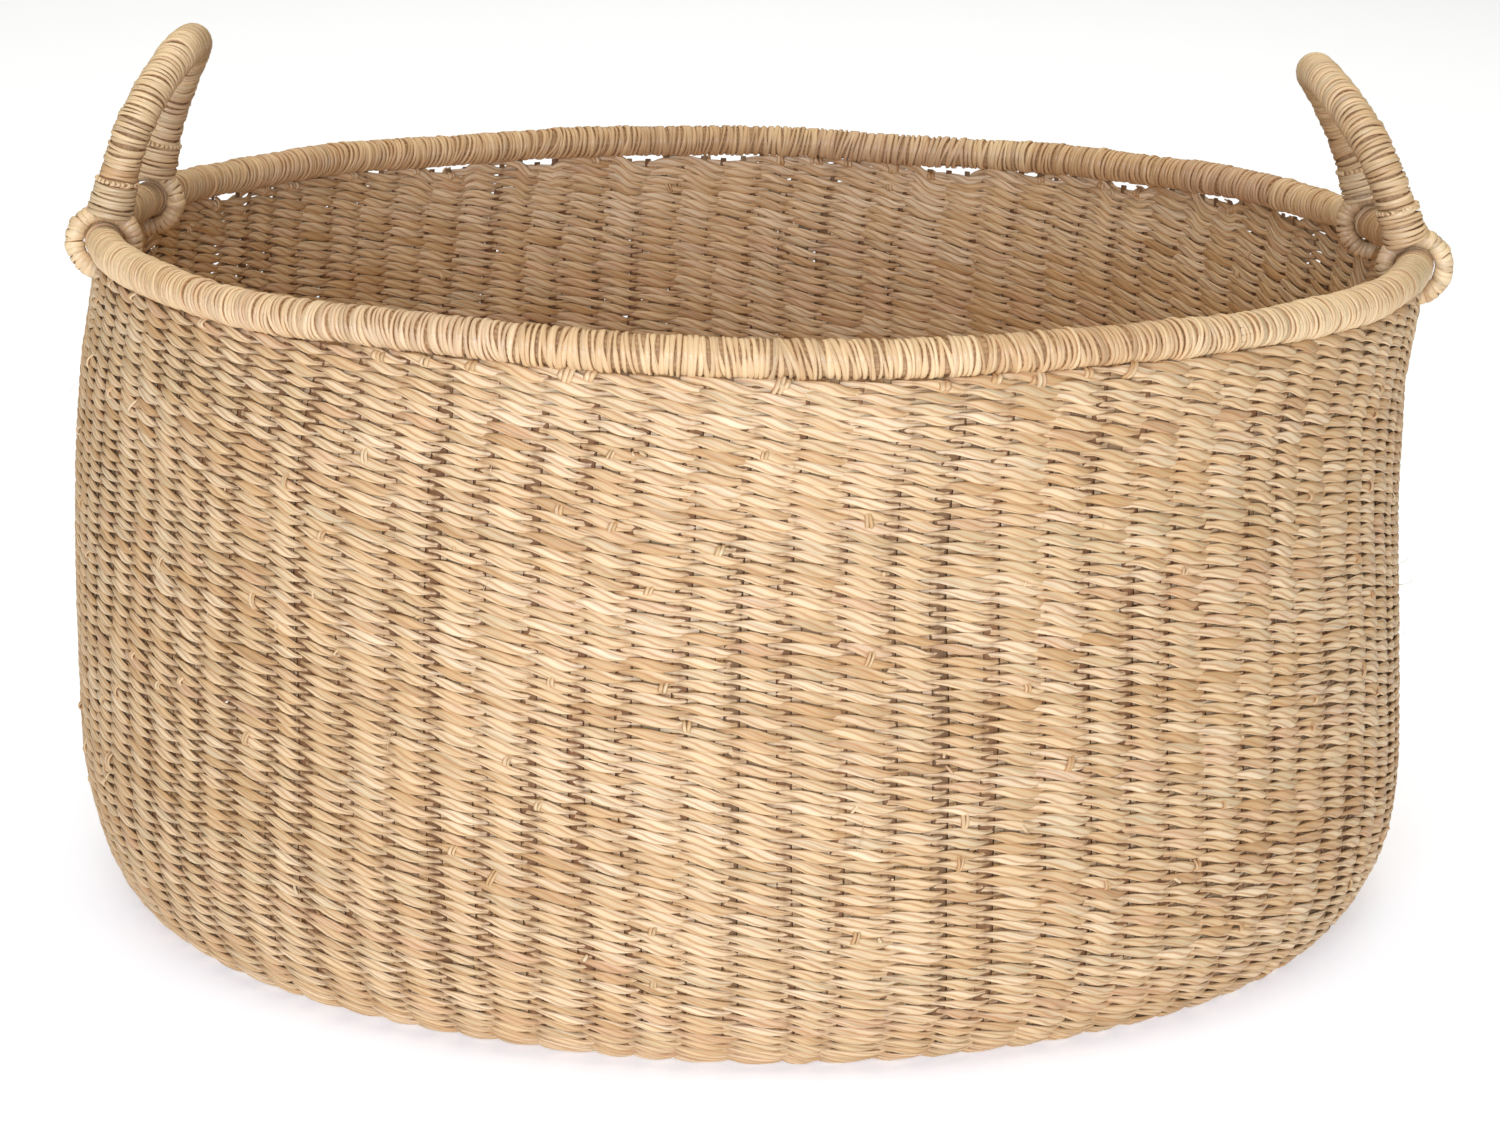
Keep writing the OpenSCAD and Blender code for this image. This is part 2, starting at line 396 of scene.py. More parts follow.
def in_runs(rng, count, low, high, draw):
    """count rows of values that are drawn anew every low to high rows."""
    rows = []
    while len(rows) < count:
        length = int(rng.integers(low, high))
        rows += [draw()] * length
    return np.array(rows[:count])


def straw_tones(rng, leaves, rows_per_leaf):
    """A tone for each row of a strand made of straws that each last a few leaves."""

    def straw():
        dull = 0.75 * float(rng.uniform() < 0.03)
        return rng.normal(0, 0.12) - 0.35 * dull, rng.uniform(0, 1), 0.15 * dull

    tone = in_runs(rng, leaves, 5, 15, straw)
    tone[:, 0] += rng.normal(0, 0.09, leaves)
    return np.repeat(tone, rows_per_leaf, axis=0)


def jitter(rng, k, leaves, size):
    """A random wobble along a strand, straight from leaf to leaf, that ends as it starts."""
    value = rng.normal(0, size, leaves + 1)
    value[-1] = value[0]
    return np.interp(k, np.arange(leaves + 1), value)


def weave_course(s, rng, rows_per_leaf, sides):
    """The two twined strands of one course at the distance s along the section."""
    r = float(np.interp(s, SEC_S, SEC_R))
    count = stake_count(r)
    loops, turns = (1, 2) if count % 2 else (2, 1)
    leaves = count * turns
    rows = leaves * rows_per_leaf
    k = np.arange(rows) / rows_per_leaf
    theta = TAU * k / count
    slip = jitter(rng, k, leaves, 0.07)
    short = min(1.0, TAU * r / count / (20 * MM)) ** 0.8
    loose = looseness(theta, s)
    mean = 0.5 + rng.normal(0, 0.05) + BROWNING(theta, s)
    lines, wides, thicks, tones, twists = [], [], [], [], []
    for strand in range(loops):
        phase = math.pi * (k + slip - 0.5 + strand)
        sine, cosine = np.sin(phase), np.cos(phase)
        share = CROSSING_SHARE - OPEN_SHARE * loose
        belly = share + (1 - share) * np.abs(cosine) ** (1 + 1.1 * loose)
        size = (1 + jitter(rng, k, leaves, 0.09)) * (1 - 0.05 * loose)
        rise = -TWINE_RISE * short * (1 - 0.1 * loose) * sine + jitter(rng, k, leaves, 0.28 * MM)
        out = TWINE_OUT * np.sign(cosine) * np.abs(cosine) ** 0.75 - TWINE_LAP * sine
        point, up = fabric(theta, s + rise, out)
        wide, thick = cross_axes(point[None], up[None], True)
        lines.append(point)
        wides.append(wide[0] * (STRAND_HALF_W * belly * size)[:, None])
        thicks.append(thick[0] * (STRAND_HALF_T * (1 + 0.35 * np.abs(sine) ** 3) * size)[:, None])
        tone = straw_tones(rng, leaves, rows_per_leaf)
        tone[:, 0] = np.clip(tone[:, 0] + mean, 0, 1)
        # painted shade: the third tone value rises towards where the course's two strands cross, more
        # where the weave is loose
        tone[:, 2] = np.maximum(tone[:, 2], (0.12 + 0.48 * loose) * (1 - np.abs(cosine)) ** 4)
        tones.append(tone)
        step = int(rng.integers(0, 3)) + round(leaves * STRAND_TWIST / TAU)
        twists.append(rng.uniform(0, TAU) - k * TAU * step / leaves)
    line = np.stack(lines)
    along = np.broadcast_to((k * TAU * r / count)[None], line.shape[:2])
    arrays = tube_arrays(
        line,
        np.stack(wides),
        np.stack(thicks),
        sides,
        np.stack(tones),
        along,
        rng.uniform(0, 60, loops),
        STRAND_LOBES,
        np.stack(twists),
        0.75,
        rng.normal(0, 0.15, (loops, STRAND_LOBES)),
    )
    return arrays, grid_quads(loops, rows, sides, True)


def weave_piece(name, courses, seed, rows_per_leaf, sides):
    """A band of courses as one piece."""
    rng = np.random.default_rng(seed)
    arrays, quads = [], []
    total = 0
    for s in courses:
        strands, faces = weave_course(s, rng, rows_per_leaf, sides)
        arrays.append(strands)
        quads.append(faces + total)
        total += len(strands[0])
    points, tones, fibres, grooves = (np.concatenate(part) for part in zip(*arrays, strict=True))
    return make_mesh(name, points, np.concatenate(quads), [], tones, fibres, WEAVE_STRAW, grooves)


# ---------------------------------------------------------- materials
def straw_material(name, *, dark, mid, light, green, red, dull_and_shade, roughness):
    """Straw: each strand has its own tone from dark to light and its own tint towards green or red.

    Fine darker lines run along it, with faint blotches, and grooves and the edges of wrapping strips
    darkened as painted shade. The third value of the tone mixes in a dark colour: for dull straws, and as
    painted shade where the two strands of a course cross.
    """
    material = bpy.data.materials.new(name)
    material.use_nodes = True
    tree = material.node_tree
    nodes, links = tree.nodes, tree.links
    nodes.clear()
    out = nodes.new("ShaderNodeOutputMaterial")
    shader = nodes.new("ShaderNodeBsdfPrincipled")
    links.new(shader.outputs[0], out.inputs[0])
    tone = nodes.new("ShaderNodeAttribute")
    tone.attribute_name = "tone"
    split = nodes.new("ShaderNodeSeparateXYZ")
    links.new(tone.outputs["Vector"], split.inputs[0])
    fibre = nodes.new("ShaderNodeAttribute")
    fibre.attribute_name = "fibre"
    groove = nodes.new("ShaderNodeAttribute")
    groove.attribute_name = "groove"

    def noise(scale_xyz, scale, detail):
        mapping = nodes.new("ShaderNodeMapping")
        mapping.inputs["Scale"].default_value = scale_xyz
        links.new(fibre.outputs["Vector"], mapping.inputs["Vector"])
        texture = nodes.new("ShaderNodeTexNoise")
        texture.inputs["Scale"].default_value = scale
        texture.inputs["Detail"].default_value = detail
        links.new(mapping.outputs[0], texture.inputs["Vector"])
        return texture.outputs["Fac"]

    def ramp(source, stops):
        node = nodes.new("ShaderNodeValToRGB")
        elements = node.color_ramp.elements
        while len(elements) < len(stops):
            elements.new(0.5)
        for element, (place, colour) in zip(elements, stops, strict=True):
            element.position = place
            element.color = (*colour, 1)
        links.new(source, node.inputs[0])
        return node.outputs[0]

    def mix(factor, a, b, kind="MIX"):
        node = nodes.new("ShaderNodeMix")
        node.data_type = "RGBA"
        node.blend_type = kind
        if isinstance(factor, float):
            node.inputs[0].default_value = factor
        else:
            links.new(factor, node.inputs[0])
        for socket, value in ((node.inputs[6], a), (node.inputs[7], b)):
            if isinstance(value, tuple):
                socket.default_value = (*value, 1)
            else:
                links.new(value, socket)
        return node.outputs[2]

    def grey(value):
        return (value, value, value)

    base = ramp(split.outputs[0], [(0.05, dark), (0.45, mid), (0.95, light)])
    hue = split.outputs[1]
    greenish = ramp(hue, [(0.0, grey(0.38)), (0.10, grey(0.18)), (0.20, grey(0)), (1, grey(0))])
    base = mix(greenish, base, green)
    reddish = ramp(hue, [(0.0, grey(0)), (0.80, grey(0)), (0.93, grey(0.25)), (1, grey(0.45))])
    base = mix(reddish, base, red)
    streak = noise((3.2, 3.2, 16), 1.0, 3)
    lines = ramp(streak, [(0.30, grey(0.60)), (0.42, grey(0.90)), (0.60, grey(1.0)), (0.75, grey(1.06))])
    base = mix(0.8, base, lines, "MULTIPLY")
    blotch = noise((0.5, 0.5, 60), 1.0, 2)
    patch = ramp(blotch, [(0.30, grey(0.82)), (0.55, grey(1.0)), (0.8, grey(1.06))])
    base = mix(0.7, base, patch, "MULTIPLY")
    # painted shade: grooves along the strands and the edges of the wrapping strips are mixed towards a
    # deeper brown
    shaded = (0.72 * dark[0], 0.52 * dark[1], 0.36 * dark[2])
    line = ramp(groove.outputs["Fac"], [(0.0, grey(0)), (0.50, grey(0.03)), (1.0, grey(0.80))])
    base = mix(line, base, shaded)
    # the third tone value mixes in the dark colour: dull straws, and painted shade where a course's
    # strands cross
    dull_and_painted_shade = mix(split.outputs[2], base, dull_and_shade)
    links.new(dull_and_painted_shade, shader.inputs["Base Color"])
    rough = nodes.new("ShaderNodeMapRange")
    rough.inputs["To Min"].default_value = roughness - 0.12
    rough.inputs["To Max"].default_value = roughness + 0.12
    links.new(streak, rough.inputs["Value"])
    links.new(rough.outputs[0], shader.inputs["Roughness"])
    shader.inputs["Specular IOR Level"].default_value = 0.5
    bump = nodes.new("ShaderNodeBump")
    bump.inputs["Strength"].default_value = 0.5
    bump.inputs["Distance"].default_value = 0.25 * MM
    links.new(streak, bump.inputs["Height"])
    links.new(bump.outputs[0], shader.inputs["Normal"])
    return material


WEAVE_STRAW = straw_material(
    "weave_straw",
    dark=(0.62, 0.378, 0.160),
    mid=(0.78, 0.543, 0.277),
    light=(0.86, 0.655, 0.390),
    green=(0.60, 0.50, 0.28),
    red=(0.68, 0.40, 0.24),
    dull_and_shade=(0.170, 0.070, 0.024),
    roughness=0.58,
)
WRAP_STRAW = straw_material(
    "wrap_straw",
    dark=(0.66, 0.408, 0.188),
    mid=(0.84, 0.592, 0.308),
    light=(0.94, 0.727, 0.415),
    green=(0.52, 0.42, 0.24),
    red=(0.60, 0.37, 0.22),
    dull_and_shade=(0.18, 0.08, 0.030),
    roughness=0.40,
)
STAKE_STRAW = straw_material(
    "stake_straw",
    dark=(0.16, 0.085, 0.035),
    mid=(0.28, 0.165, 0.07),
    light=(0.38, 0.24, 0.11),
    green=(0.22, 0.18, 0.09),
    red=(0.26, 0.12, 0.06),
    dull_and_shade=(0.06, 0.03, 0.012),
    roughness=0.7,
)
# partly painted shade: the cores' own straw, painted a darker brown so the gaps between the wrapping
# strips show as shade
CORE_STRAW = straw_material(
    "core_straw",
    dark=(0.34, 0.185, 0.075),
    mid=(0.44, 0.255, 0.110),
    light=(0.54, 0.335, 0.155),
    green=(0.34, 0.25, 0.12),
    red=(0.38, 0.19, 0.09),
    dull_and_shade=(0.10, 0.045, 0.018),
    roughness=0.7,
)
# painted shade: near-black straw for the thin fillers behind the crossings, standing in for the shade in
# the notches
SHADE_FILLER_STRAW = straw_material(
    "shade_filler_straw",
    dark=(0.17, 0.073, 0.023),
    mid=(0.22, 0.100, 0.034),
    light=(0.27, 0.130, 0.048),
    green=(0.22, 0.14, 0.06),
    red=(0.26, 0.10, 0.035),
    dull_and_shade=(0.03, 0.015, 0.006),
    roughness=0.8,
)

# ---------------------------------------------------------- wall and base
HUB_HOLE = 12 * MM
HUB_HALF_W = 3.1 * MM
HUB_HALF_T = 2.6 * MM
COURSES = np.arange(S_TOP - 0.05 * COURSE_PITCH, HUB_HOLE, -COURSE_PITCH)


def make_weave():
    """The courses in bands from the rim to the start in the middle of the base."""
    wall = COURSES[COURSES > S_FOOT]
    foot = COURSES[(COURSES <= S_FOOT) & (COURSES > BASE_START)]
    base = COURSES[COURSES <= BASE_START]
    rows_per_leaf = 7
    seed = 100
    parts = (("wall_weave", wall, 8), ("foot_weave", foot, 4), ("base_weave", base, 8))
    for node, courses, bands in parts:
        for i, band in enumerate(np.array_split(courses, bands)):
            piece = weave_piece(f"{node}_band_{i + 1}", band, seed, rows_per_leaf, 10)
            add_basket_piece(piece, node)
            seed += 1


def add_basket_piece(piece, node):
    """A piece of the tub that stands for a CAD node."""
    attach(piece, "basket")
    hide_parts(node)


def short_strands(name, theta, s, out, half_w, half_t, sides, seed, darker=0.0):
    """Short loose strands over the fabric, with theta, s and out as (strands, rows)."""
    rng = np.random.default_rng(seed)
    line, _ = fabric(theta, s, out)
    outer, _ = fabric(theta, s, out + 1 * MM)
    outward = unit(outer - line)
    run = unit(np.gradient(line, axis=1))
    wide = unit(np.cross(run, outward))
    thick = np.cross(wide, run)
    count, rows = theta.shape
    depth, hue = rng.uniform(0.15, 0.85, count) - darker, rng.uniform(0, 1, count)
    tone = np.stack([depth, hue, np.zeros(count)], -1)
    taper = np.ones(rows)
    taper[[0, -1]] = 0.75
    arrays = tube_arrays(
        line,
        wide * (half_w * taper)[..., None],
        thick * (half_t * taper)[..., None],
        sides,
        tone[:, None].repeat(rows, 1),
        np.linspace(0, 0.02, rows)[None].repeat(count, 0),
        rng.uniform(0, 60, count),
        STRAND_LOBES,
    )
    quads = grid_quads(count, rows, sides, False)
    caps = end_caps(count, rows, sides)
    return make_mesh(name, arrays[0], quads, caps, *arrays[1:3], WEAVE_STRAW, arrays[3])


def tucks(name, count, low, high, height, width, side, seed):
    """Pairs of straws that step over a course or two, where one weaving straw follows another."""
    rng = np.random.default_rng(seed)
    stake = rng.integers(0, STAKES, count) + rng.normal(0.5, 0.12, count)
    middle = rng.uniform(low, high, count)
    tall = height * rng.choice([1.0, 1.0, 1.8], count)
    rows = 9
    t = np.linspace(-1, 1, rows)[None]
    pair = np.concatenate([np.full(count, -1.0), np.full(count, 1.0)])[:, None] * 0.9 * width
    stake, middle, tall = (np.tile(v, 2)[:, None] for v in (stake, middle, tall))
    slant = np.tile(rng.normal(0.15, 0.2, count), 2)[:, None] + rng.normal(0, 0.08, (2 * count, 1))
    s = middle + tall / 2 * t
    theta = TAU * stake / STAKES + (pair + slant * tall / 2 * t) / WALL_RADIUS
    out = side * (0.6 * MM + rng.uniform(3.0, 3.8, (2 * count, 1)) * MM * (1 - np.abs(t) ** 2.5))
    half_w = rng.uniform(0.75, 1.15, (2 * count, 1)) * width
    piece = short_strands(name, theta, s, out, half_w, 0.6 * MM, 6, seed + 1, 0.15)
    add_basket_piece(piece, "wall_weave")


def cut_ends(name, count, length, side, half_w, seed):
    """Cut ends of straws that stick out a little between the courses."""
    rng = np.random.default_rng(seed)
    rows = 6
    t = np.linspace(0, 1, rows)[None]
    theta = rng.uniform(0, TAU, (count, 1))
    s = rng.uniform(S_FOOT - 50 * MM, S_TOP - 8 * MM, (count, 1))
    reach = length * rng.uniform(0.6, 1.3, (count, 1))
    sideways = reach * rng.normal(0, 0.55, (count, 1)) * t
    sideways = sideways + reach * rng.normal(0, 0.25, (count, 1)) * t**2
    upward = reach * rng.normal(-0.25, 0.5, (count, 1)) * t
    out = side * (1.2 * MM + reach * rng.uniform(0.25, 0.6, (count, 1)) * np.sin(t * 1.9))
    width = half_w * rng.uniform(0.7, 1.3, (count, 1))
    turn = theta + sideways / WALL_RADIUS
    piece = short_strands(name, turn, s + upward, out, width, half_w / 2, 5, seed + 1)
    add_basket_piece(piece, "wall_weave")


def make_hub():
    """The start of the base: a small coil that ends as a full ring inside the first course."""
    rows, sides = 150, 10
    edge = COURSES[-1] - 0.9 * COURSE_PITCH
    turn = np.linspace(0, (edge / COURSE_PITCH + 1) * TAU, rows)
    r = np.clip(COURSE_PITCH * turn / TAU, 1.5 * MM, edge)
    outward = np.stack([np.cos(turn), np.sin(turn), 0 * turn], -1)
    line = (r[:, None] * outward + (SHAPE_LEAN[0], 0, FABRIC_T / 2))[None]
    wide, thick = cross_axes(line, outward[None], False)
    arrays = tube_arrays(
        line,
        wide * HUB_HALF_W,
        thick * HUB_HALF_T,
        sides,
        np.broadcast_to([0.5, 0.5, 0.0], (1, rows, 3)),
        turn[None] * MM,
        np.zeros(1),
        STRAND_LOBES,
        (turn * 1.5)[None],
    )
    quads = grid_quads(1, rows, sides, False)
    caps = end_caps(1, rows, sides)
    piece = make_mesh("base_start_coil", arrays[0], quads, caps, *arrays[1:3], WEAVE_STRAW, arrays[3])
    add_basket_piece(piece, "base_weave")


def make_loose_ends():
    """Loose ends of straw over the weave and under the rim, outside and inside."""
    foot = S_FOOT - 60 * MM
    tucks("wall_tucks_outside", 130, foot, S_TOP - 10 * MM, COURSE_PITCH, 1.0 * MM, 1, 501)
    tucks("wall_tucks_inside", 90, foot, S_TOP - 10 * MM, COURSE_PITCH, 1.0 * MM, -1, 511)
    tucks("rim_lashings_outside", 60, S_TOP - 0.5 * MM, S_TOP + 1.5 * MM, 5 * MM, 1.3 * MM, 1, 521)
    tucks("rim_lashings_inside", 50, S_TOP - 0.5 * MM, S_TOP + 1.5 * MM, 5 * MM, 1.3 * MM, -1, 531)
    cut_ends("cut_ends_outside", 110, 5 * MM, 1, 0.8 * MM, 541)
    cut_ends("cut_ends_inside", 80, 5 * MM, -1, 0.8 * MM, 551)
    cut_ends("stray_fibres", 70, 13 * MM, 1, 0.16 * MM, 561)


def stake_piece(name, first, last, indexes, count, material, seed, shift=0.5, half_t=STAKE_HALF_T):
    """Stakes from one distance along the section to another."""
    rng = np.random.default_rng(seed)
    rows, sides = 60, 8
    s = np.linspace(first, last, rows)[None].repeat(len(indexes), 0)
    theta = TAU * (np.array(indexes)[:, None] + shift) / count + np.zeros_like(s)
    line, up = fabric(theta, s, np.zeros_like(s))
    run = unit(np.gradient(line, axis=1))
    side = np.stack([-np.sin(theta), np.cos(theta), np.zeros_like(theta)], -1)
    wide = unit(side - run * (side * run).sum(-1, keepdims=True))
    thick = np.cross(wide, run)
    size = 1 + 0.08 * rng.normal(0, 1, (len(indexes), 1, 1))
    size = size * (1 - 0.55 * smoothstep((s - S_TOP + 22 * MM) / (14 * MM)))[..., None]
    depth, hue = rng.uniform(0.2, 0.8, len(indexes)), rng.uniform(0, 1, len(indexes))
    tone = np.stack([depth, hue, np.zeros(len(indexes))], -1)
    arrays = tube_arrays(
        line,
        wide * STAKE_HALF_W * size,
        thick * half_t * size,
        sides,
        tone[:, None].repeat(rows, 1),
        s,
        rng.uniform(0, 60, len(indexes)),
    )
    quads = grid_quads(len(indexes), rows, sides, False)
    caps = end_caps(len(indexes), rows, sides)
    return make_mesh(name, arrays[0], quads, caps, *arrays[1:3], material)


def make_stakes():
    """The stakes up the wall, thin near-black fillers between them as painted shade behind the crossings,
    and the spokes of the base.
    """
    top = distance_at(RIM_LOW.z + 2.5 * MM)
    piece = stake_piece("wall_stakes_all", BASE_START, top, range(STAKES), STAKES, STAKE_STRAW, 31)
    add_basket_piece(piece, "wall_stakes")
    at_rings = {round(angle * STAKES / TAU) for angle in RING_ANGLES}
    between = [i for i in range(STAKES) if i not in at_rings and i not in OPEN_COLUMNS]
    # painted shade: thin near-black fillers at the crossings' columns, shorter ones at the rings
    shade_fillers = (("thin", between, top), ("thin_short", sorted(at_rings), top - SHORT_BY))
    for name, indexes, end in shade_fillers:
        piece = stake_piece(
            f"wall_stakes_{name}",
            BASE_START,
            end,
            indexes,
            STAKES,
            SHADE_FILLER_STRAW,
            32,
            shift=0.0,
            half_t=FILLER_HALF_T,
        )
        add_basket_piece(piece, "wall_stakes")
    zones = STAKE_ZONES[2::-1]
    ends = (zones[1][0], zones[2][0], BASE_START)
    for i, ((start, count), end) in enumerate(zip(zones, ends, strict=True)):
        name = f"base_spokes_ring_{i + 1}"
        piece = stake_piece(name, start, end, range(count), count, STAKE_STRAW, 41 + i)
        add_basket_piece(piece, "base_spokes")


# ---------------------------------------------------------- wrapped tubes
Strips = namedtuple("Strips", "pitch half_w half_t lean bow around runs")
RIM_STRIPS = Strips(2.5 * MM, 1.28 * MM, 1.05 * MM, (0.16, 0.10), 0.8 * MM, 20, (12, 45))
HANDLE_STRIPS = Strips(2.35 * MM, 1.25 * MM, 1.0 * MM, (0.12, 0.07), 0.4 * MM, 20, (8, 30))
CUFF_STRIPS = Strips(2.2 * MM, 1.22 * MM, 0.8 * MM, (0.04, 0.05), 0.4 * MM, 20, (8, 30))
TIE_STRIPS = Strips(2.6 * MM, 1.15 * MM, 0.6 * MM, (0.7, 0.15), 0.1 * MM, 10, (8, 30))
RING_STRIPS = Strips(2.9 * MM, 1.95 * MM, 0.75 * MM, (0.12, 0.06), 0.3 * MM, 14, (3, 8))
# painted shade: the mean tone of the rim's four quarters, from right-back round to right-front; the back
# quarters are darker as shade, the front ones lighter
RIM_TONES_WITH_PAINTED_SHADE = (0.20, 0.05, 0.30, 0.38)
RIM_KNOTS = 25
RIM_LESS = 0.15 * MM
CORE_LESS = 1.3 * MM
RING_CORE_LESS = 0.8 * MM


def path_frames(path, closed, up):
    """Two directions across a path, the first as near to up as it can be, and the path's own."""
    if closed:
        run = np.roll(path, -1, 0) - np.roll(path, 1, 0)
    else:
        run = np.gradient(path, axis=0)
    run = unit(run)
    first = unit(up - run * (up * run).sum(-1, keepdims=True))
    return first, np.cross(run, first), run


def wrap_loops(name, path, up, closed, radius, seed, strips, shade=0.5):
    """Strips of straw wound round a path. Each is a closed loop that leans and bows a little."""
    pitch, half_w, half_t, lean, bow, around, runs = strips
    rng = np.random.default_rng(seed)
    ends = np.concatenate([path, path[:1]]) if closed else path
    length = np.concatenate([[0], np.cumsum(np.linalg.norm(np.diff(ends, axis=0), axis=1))])
    count = max(3, int(round(length[-1] / pitch)))
    step = rng.uniform(0.78, 1.22, count)
    place = np.cumsum(step)
    place = (place - step / 2) / place[-1] * length[-1]
    first, second, run = path_frames(path, closed, up)
    if closed:
        first, second, run = (np.concatenate([v, v[:1]]) for v in (first, second, run))

    def at(values):
        return np.stack([np.interp(place, length, values[:, i]) for i in range(3)], -1)

    centre, e1, e2, e3 = at(ends), unit(at(first)), unit(at(second)), unit(at(run))
    size = radius(place / length[-1]) if callable(radius) else np.full(count, radius)
    alpha = TAU * np.arange(around)[None] / around
    tone = in_runs(rng, count, *runs, lambda: (rng.normal(shade, 0.14), rng.uniform(0, 1), 0.0))
    tilt = in_runs(rng, count, 2, 9, lambda: (rng.normal(*lean),))
    tilt += rng.normal(0, 0.75 * lean[1], (count, 1))
    tone[:, 0] = np.clip(tone[:, 0] + rng.normal(0, 0.10, count), 0, 1)
    tone[:, 1] = np.clip(tone[:, 1] + rng.normal(0, 0.06, count), 0, 1)
    tone[:, 2] = 0.35 * rng.uniform(0, 1, count) ** 12
    lift = rng.normal(0, 0.26, (count, 1)) * half_t
    lift = lift + 0.12 * half_t * np.cos(alpha + rng.uniform(0, TAU, (count, 1)))
    r = size[:, None] - half_t + lift
    shift = r * np.tan(tilt) * np.sin(alpha + rng.uniform(-0.3, 0.3, (count, 1)))
    shift = shift + rng.normal(bow, abs(bow) / 2, (count, 1)) * np.cos(alpha)
    radial = e1[:, None] * np.cos(alpha)[..., None] + e2[:, None] * np.sin(alpha)[..., None]
    line = centre[:, None] + radial * r[..., None] + e3[:, None] * shift[..., None]
    neck = 1 + 0.30 * np.cos(alpha * rng.integers(1, 4, (count, 1)) + rng.uniform(0, TAU, (count, 1)))
    width = half_w * rng.uniform(0.78, 1.2, (count, 1)) * neck
    wide = e3[:, None] * width[..., None]
    thick = radial * half_t
    sides = 8
    along = alpha * size[:, None]
    ids = rng.uniform(0, 60, count)
    tones = tone[:, None].repeat(around, 1)
    arrays = tube_arrays(line, wide, thick, sides, tones, along, ids, power=0.85)
    # painted shade: each strip is darker towards its two edges, where it meets its neighbours
    edge = np.tile(np.abs(np.cos(TAU * np.arange(sides) / sides)) ** 3, count * around)
    quads = grid_quads(count, around, sides, True)
    return make_mesh(name, arrays[0], quads, [], *arrays[1:3], WRAP_STRAW, edge)


def bundle(name, path, up, closed, radius, lobes, seed):
    """A core: a bundle of straws laid side by side, as a fluted tube."""
    rng = np.random.default_rng(seed)
    first, second, _ = path_frames(path, closed, up)
    sides = lobes * 3
    psi = TAU * np.arange(sides) / sides
    flute = 1 - 0.07 * (1 - np.cos(lobes * psi))
    radial = first[:, None] * np.cos(psi)[None, :, None] + second[:, None] * np.sin(psi)[None, :, None]
    points = (path[:, None] + radial * (radius * flute)[None, :, None]).reshape(-1, 3)
    rows = len(path)
    tone = np.tile(rng.uniform(0.2, 0.8, (sides, 3)) * (1, 1, 0), (rows, 1))
    fibre = np.empty((rows, sides, 3))
    fibre[..., 0] = np.cos(psi) * 3
    fibre[..., 1] = np.sin(psi) * 3
    fibre[..., 2] = np.linspace(0, 1, rows)[:, None]
    quads = grid_quads(1, rows, sides, closed)
    caps = [] if closed else end_caps(1, rows, sides)
    return make_mesh(name, points, quads, caps, tone, fibre.reshape(-1, 3), CORE_STRAW)


def ring_path(centre, radius, axis_u, axis_v, rows):
    """A circle in the plane of two directions."""
    angle = TAU * np.arange(rows) / rows
    return centre + radius * (np.cos(angle)[:, None] * axis_u + np.sin(angle)[:, None] * axis_v)


def rim_bumps(seed):
    """The wrapped rim's radius along a quarter: a little thicker and thinner, and plain at its ends."""
    rng = np.random.default_rng(seed)
    value = rng.normal(0, 0.30 * MM, RIM_KNOTS)
    value[:4] = value[-4:] = 0.0

    def size(share):
        return RIM_TUBE - RIM_LESS + np.interp(share, np.linspace(0, 1, RIM_KNOTS), value)

    return size


def make_rim():
    """The rim's core and the wrap around it, in quarters."""
    rows = 720
    theta = TAU * np.arange(rows) / rows
    path = np.stack([RIM_RADIUS * np.cos(theta), RIM_RADIUS * np.sin(theta), np.full(rows, RIM_Z)], -1)
    free = free_of_handles(theta)
    path[:, 2] += free * RIM_RISE(theta, 0)
    path[:, :2] *= (1 + free * RIM_SPREAD(theta, 0) / RIM_RADIUS)[:, None]
    outward = unit(path * (1, 1, 0))
    core = bundle("rim_core_bundle", path, outward, True, RIM_TUBE - CORE_LESS, 14, 53)
    add_basket_piece(core, "rim_core")
    quarter = rows // len(RIM_TONES_WITH_PAINTED_SHADE)
    for i, shade in enumerate(RIM_TONES_WITH_PAINTED_SHADE):
        pick = np.arange(quarter * i, quarter * (i + 1) + 1) % rows
        name = f"rim_wrap_quarter_{i + 1}"
        radius = rim_bumps(70 + i)
        piece = wrap_loops(name, path[pick], outward[pick], False, radius, 60 + i, RIM_STRIPS, shade)
        add_basket_piece(piece, "rim_wrap")


# ---------------------------------------------------------- handles
def handle_frame(side):
    """Origin on the hinge line, and the inward, lengthwise and upward directions of a leaning handle."""
    joint = JOINTS[f"{side}_handle"]
    origin = np.array(joint["pos_m"], float)
    inward = 1 if side == "left" else -1
    lean = LEANS[side]
    x_axis = np.array([inward * math.cos(lean), 0, -math.sin(lean)])
    z_axis = np.array([inward * math.sin(lean), 0, math.cos(lean)])
    return origin, x_axis, np.array([0, 1.0, 0]), z_axis


def curl(height):
    """How far the handle's centre line droops inward at a height above the hinge line."""
    rise = np.clip((height - ARCH_START) / (HANDLE_H - ARCH_START), 0, 1)
    low_bend = (height / HANDLE_H) ** 1.5
    return HANDLE_CURL * ((1 - CURL_LOW_SHARE) * rise**2 + CURL_LOW_SHARE * low_bend)


def arch_points():
    """The handle's centre line in its own frame."""
    a = np.linspace(0, math.pi, 97)
    c, rise = np.cos(a), np.abs(np.sin(a)) ** (2 / ARCH_POWER)
    height = ARCH_START + (HANDLE_H - ARCH_START) * rise
    arch = np.stack([curl(height), -FOOT_Y * np.sign(c) * np.abs(c) ** (2 / ARCH_POWER), height], -1)
    low = np.linspace(CORE_FOOT, ARCH_START, 8, endpoint=False)
    front = np.stack([curl(low), 0 * low - FOOT_Y, low], -1)
    rear = front[::-1] * (1, -1, 1)
    return np.concatenate([front, arch, rear])


def cuff_radius(share):
    """The cuff is a little slimmer at its top."""
    return CUFF_R - 1.0 * MM * share


